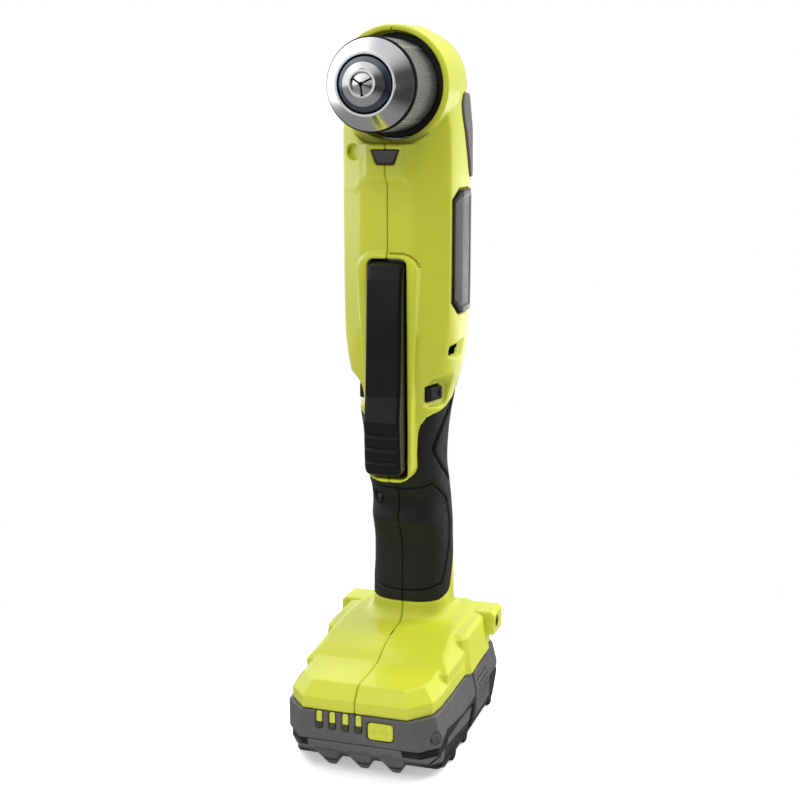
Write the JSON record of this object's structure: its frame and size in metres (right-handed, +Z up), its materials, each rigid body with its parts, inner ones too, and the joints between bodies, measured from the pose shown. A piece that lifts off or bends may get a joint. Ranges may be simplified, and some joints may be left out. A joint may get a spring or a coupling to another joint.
{
  "type": "right angle drill",
  "caption": "Cordless right angle drill with a keyless chuck square to the body, a long paddle trigger, a rubber grip and a stem battery pack.",
  "frame": {"origin": "on the floor under the centre of the battery pack, which is the middle of the part's box", "axes": "+Z up along the body, the chuck points along -Y, the seam of the housing is the plane x = 0"},
  "size_m": [0.08, 0.116, 0.3318],
  "materials": {
    "lime_plastic": "moulded, satin",
    "grip_rubber": "textured",
    "dark_plastic": "satin",
    "gloss_black": "polished",
    "grey_plastic": "satin",
    "lens": "clear over dark",
    "board": "bare board",
    "steel": "machined",
    "chrome": "polished",
    "alloy": "die cast",
    "brass": "machined",
    "copper": "enamelled wire",
    "magnet": "ground",
    "cell": "wrapped",
    "window": "clear"
  },
  "bodies": {
    "tool": {"housing_left": "lime_plastic", "housing_right": "lime_plastic", "grip_left": "grip_rubber", "grip_right": "grip_rubber", "head_bumper": "grip_rubber", "badge_left": "dark_plastic", "badge_right": "dark_plastic", "led_lens": "lens", "led_board": "board", "housing_screws": "steel", "clip_inserts": "brass", "gear_case": "alloy", "gear_case_cover": "alloy", "spindle_front_bearing": "steel", "spindle_rear_bearing": "steel", "pinion_bearing": "steel", "motor_bearings": "steel", "ring_gear": "steel", "motor_bracket": "alloy", "motor_end_plate": "dark_plastic", "stator_core": "steel", "stator_windings": "copper", "controller_board": "board", "switch_body": "dark_plastic", "terminal_block": "dark_plastic", "terminal_blades": "brass", "trigger_pin": "steel"},
    "spindle": {"spindle": "steel", "bevel_gear": "steel", "chuck_body": "chrome", "chuck_screw": "steel"},
    "sleeve": {"chuck_sleeve": "dark_plastic", "chuck_nose_ring": "chrome", "chuck_nut": "steel", "chuck_thrust_ring": "steel"},
    "jaw_a": {"jaw_1": "chrome"},
    "jaw_b": {"jaw_2": "chrome"},
    "jaw_c": {"jaw_3": "chrome"},
    "carrier": {"bevel_pinion": "steel", "planet_carrier": "steel"},
    "planet_a": {"planet_1": "steel"},
    "planet_b": {"planet_2": "steel"},
    "planet_c": {"planet_3": "steel"},
    "rotor": {"rotor_shaft": "steel", "sun_gear": "steel", "rotor_core": "steel", "rotor_magnets": "magnet", "fan": "dark_plastic"},
    "trigger": {"trigger_paddle": "gloss_black"},
    "plunger": {"switch_plunger": "grey_plastic"},
    "selector": {"selector_bar": "dark_plastic"},
    "battery": {"battery_top": "grey_plastic", "battery_base": "dark_plastic", "battery_cells": "cell", "battery_board": "board", "gauge_windows": "window"},
    "latch_l": {"latch_left": "dark_plastic"},
    "latch_r": {"latch_right": "dark_plastic"},
    "gauge": {"gauge_button": "lime_plastic"}
  },
  "joints": [
    {"name": "spindle_spin", "type": "hinge", "parent": "tool", "child": "spindle", "pos_m": [0, 0, 0.3055], "axis": [0, -1, 0], "continuous": true},
    {"name": "carrier_spin", "type": "hinge", "parent": "tool", "child": "carrier", "pos_m": [0, 0.022, 0.27], "axis": [0, 0, 1], "continuous": true},
    {"name": "rotor_spin", "type": "hinge", "parent": "tool", "child": "rotor", "pos_m": [0, 0.022, 0.22], "axis": [0, 0, 1], "continuous": true},
    {"name": "planet_a_spin", "type": "hinge", "parent": "carrier", "child": "planet_a", "pos_m": [0.0108, 0.022, 0.2535], "axis": [0, 0, 1], "continuous": true},
    {"name": "planet_b_spin", "type": "hinge", "parent": "carrier", "child": "planet_b", "pos_m": [-0.0054, 0.03135, 0.2535], "axis": [0, 0, 1], "continuous": true},
    {"name": "planet_c_spin", "type": "hinge", "parent": "carrier", "child": "planet_c", "pos_m": [-0.0054, 0.01265, 0.2535], "axis": [0, 0, 1], "continuous": true},
    {"name": "sleeve_turn", "type": "hinge", "parent": "spindle", "child": "sleeve", "pos_m": [0, 0, 0.3055], "axis": [0, -1, 0], "range_deg": [0, 3375]},
    {"name": "jaw_a_slide", "type": "slide", "parent": "spindle", "child": "jaw_a", "axis": [0, 0.9659, 0.2588], "range_m": [0, 0.01501]},
    {"name": "jaw_b_slide", "type": "slide", "parent": "spindle", "child": "jaw_b", "axis": [-0.2241, 0.9659, -0.1294], "range_m": [0, 0.01501]},
    {"name": "jaw_c_slide", "type": "slide", "parent": "spindle", "child": "jaw_c", "axis": [0.2241, 0.9659, -0.1294], "range_m": [0, 0.01501]},
    {"name": "trigger_press", "type": "hinge", "parent": "tool", "child": "trigger", "pos_m": [0, -0.0035, 0.2215], "axis": [1, 0, 0], "range_deg": [0, 5.5], "stiffness_Nm_per_rad": 4, "springref_deg": -2.86},
    {"name": "plunger_slide", "type": "slide", "parent": "tool", "child": "plunger", "axis": [0, 1, 0], "range_m": [0, 0.0073]},
    {"name": "selector_slide", "type": "slide", "parent": "tool", "child": "selector", "axis": [1, 0, 0], "range_m": [-0.003, 0.003]},
    {"name": "battery_release", "type": "slide", "parent": "tool", "child": "battery", "axis": [0, 0, -1], "range_m": [0, 0.09]},
    {"name": "latch_left_press", "type": "slide", "parent": "battery", "child": "latch_l", "axis": [1, 0, 0], "range_m": [0, 0.0025], "stiffness_N_per_m": 3000, "springref_m": -0.001},
    {"name": "latch_right_press", "type": "slide", "parent": "battery", "child": "latch_r", "axis": [-1, 0, 0], "range_m": [0, 0.0025], "stiffness_N_per_m": 3000, "springref_m": -0.001},
    {"name": "gauge_press", "type": "slide", "parent": "battery", "child": "gauge", "axis": [0, 1, 0], "range_m": [0, 0.0008], "stiffness_N_per_m": 2000, "springref_m": -0.0003}
  ],
  "couplings": [
    {"joint": "carrier_spin", "follows": "spindle_spin", "ratio": -2.5},
    {"joint": "rotor_spin", "follows": "spindle_spin", "ratio": -11.25},
    {"joint": "planet_a_spin", "follows": "spindle_spin", "ratio": 7},
    {"joint": "planet_b_spin", "follows": "spindle_spin", "ratio": 7},
    {"joint": "planet_c_spin", "follows": "spindle_spin", "ratio": 7},
    {"joint": "jaw_a_slide", "follows": "sleeve_turn", "m_per_rad": 0.00025465},
    {"joint": "jaw_b_slide", "follows": "sleeve_turn", "m_per_rad": 0.00025465},
    {"joint": "jaw_c_slide", "follows": "sleeve_turn", "m_per_rad": 0.00025465},
    {"joint": "plunger_slide", "follows": "trigger_press", "m_per_rad": 0.0745}
  ]
}
